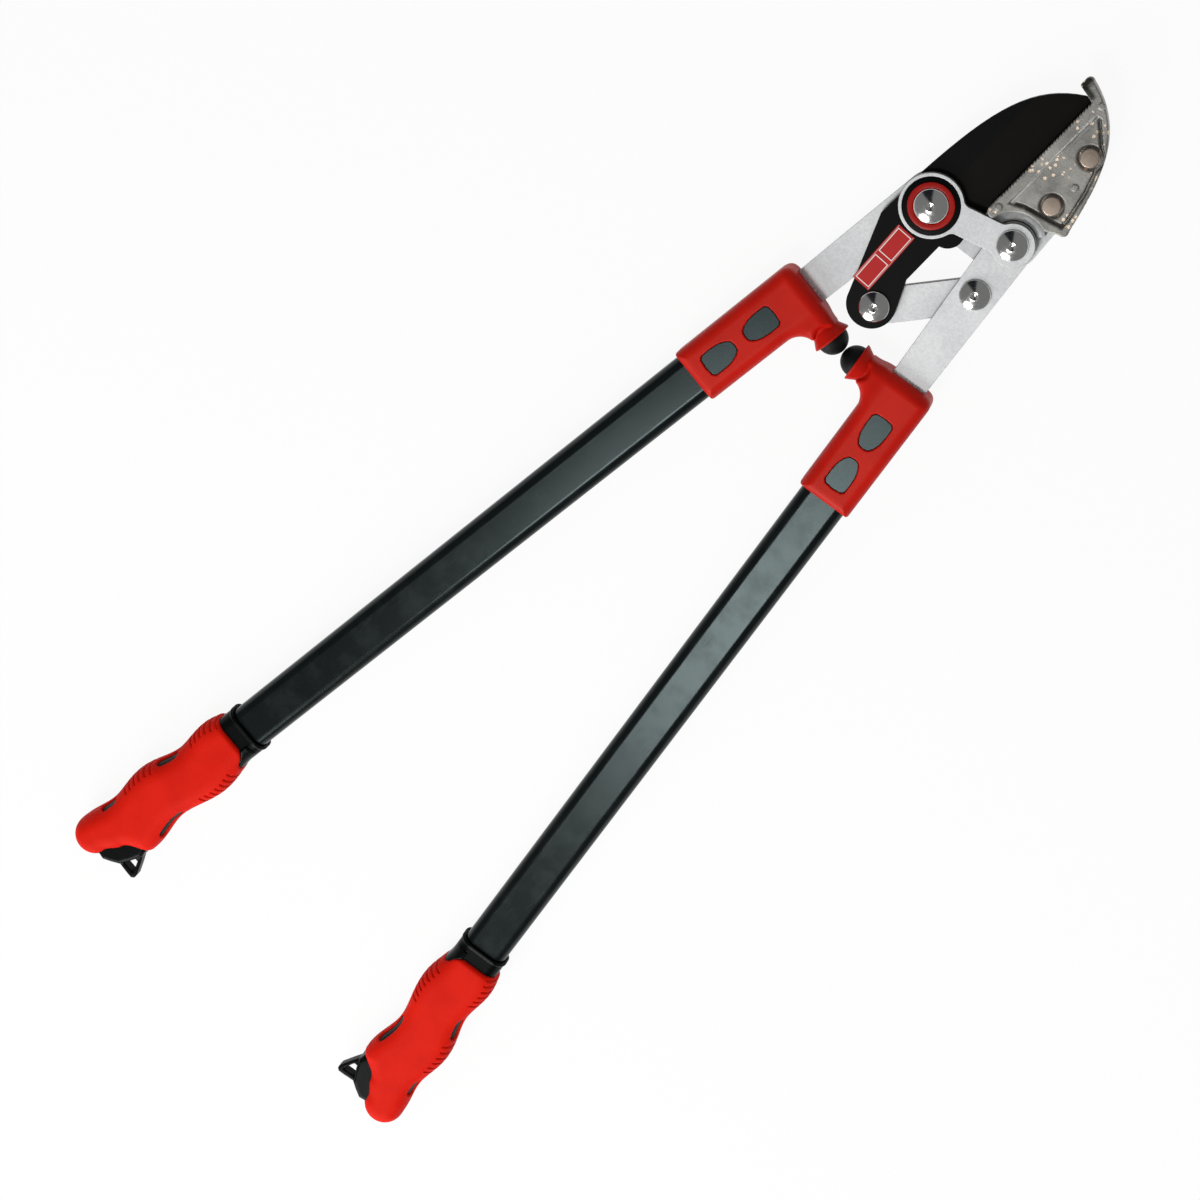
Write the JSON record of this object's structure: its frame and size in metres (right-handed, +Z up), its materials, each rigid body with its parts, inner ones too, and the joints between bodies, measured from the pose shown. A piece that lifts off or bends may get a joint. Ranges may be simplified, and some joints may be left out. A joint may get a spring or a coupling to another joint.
{
  "type": "anvil lopper",
  "caption": "Two-handed compound anvil lopper: a coated blade closes on a serrated die-cast anvil through a cross link, with oval tube handles, rubber stops and soft grips",
  "frame": {"origin": "middle of the tool's box, on the surface that it lies on", "axes": "+Y along the tool towards the head, +Z up from the surface, +X to the side of the moving handle"},
  "size_m": [0.2952, 0.8228, 0.027],
  "materials": {
    "plated_steel": "zinc plated, satin, finely mottled",
    "coated_blade": "black low-friction coat, satin",
    "die_cast": "die-cast, grey, slightly rough",
    "anvil_rivet": "flat grey-brown",
    "bright_steel": "polished",
    "black_plastic": "satin black",
    "red_trim": "glossy red",
    "label": "printed panel, no lettering",
    "red_plastic": "satin red, finely grained",
    "slate_plastic": "slate grey, satin",
    "black_rubber": "black rubber",
    "black_tube": "black coat on aluminium tube, satin",
    "red_rubber": "soft matte red"
  },
  "bodies": {
    "left_lever": {"left_bar": "plated_steel", "front_side_plate": "plated_steel", "anvil": "die_cast", "anvil_rivets": "anvil_rivet", "main_pivot_bolt": "bright_steel", "main_pivot_nut": "plated_steel", "pivot_bush": "black_plastic", "pivot_trim_ring": "red_trim", "lever_pivot_rivet": "bright_steel", "blade_washers": "black_plastic", "left_socket": "red_plastic", "left_socket_pads": "slate_plastic", "left_bumper": "black_rubber", "left_tang_insert": "black_plastic", "left_tang_rivets": "bright_steel", "left_tube": "black_tube", "left_grip_core": "black_plastic", "left_grip_cover": "red_rubber"},
    "blade": {"blade": "coated_blade", "blade_label": "label", "tail_rivet": "bright_steel", "tail_washer": "black_plastic"},
    "cross_link": {"cross_link": "plated_steel"},
    "right_lever": {"right_bar": "plated_steel", "link_rivet": "bright_steel", "right_socket": "red_plastic", "right_socket_pads": "slate_plastic", "right_bumper": "black_rubber", "right_tang_insert": "black_plastic", "right_tang_rivets": "bright_steel", "right_tube": "black_tube", "right_grip_core": "black_plastic", "right_grip_cover": "red_rubber"}
  },
  "joints": [
    {"name": "handle_open", "type": "hinge", "parent": "left_lever", "child": "right_lever", "pos_m": [0.02608, 0.31628, 0.0135], "axis": [0, 0, 1], "range_deg": [0, 55]},
    {"name": "blade_swing", "type": "hinge", "parent": "left_lever", "child": "blade", "pos_m": [-0.02205, 0.30087, 0.0135], "axis": [0, 0, 1], "range_deg": [0, 30]},
    {"name": "link_swing", "type": "hinge", "parent": "right_lever", "child": "cross_link", "pos_m": [0.03094, 0.28081, 0.0135], "axis": [0, 0, 1], "range_deg": [-53, 0]}
  ],
  "couplings": [
    {"joint": "blade_swing", "follows": "handle_open", "ratio": 0.5379},
    {"joint": "link_swing", "follows": "handle_open", "ratio": -0.9529}
  ]
}
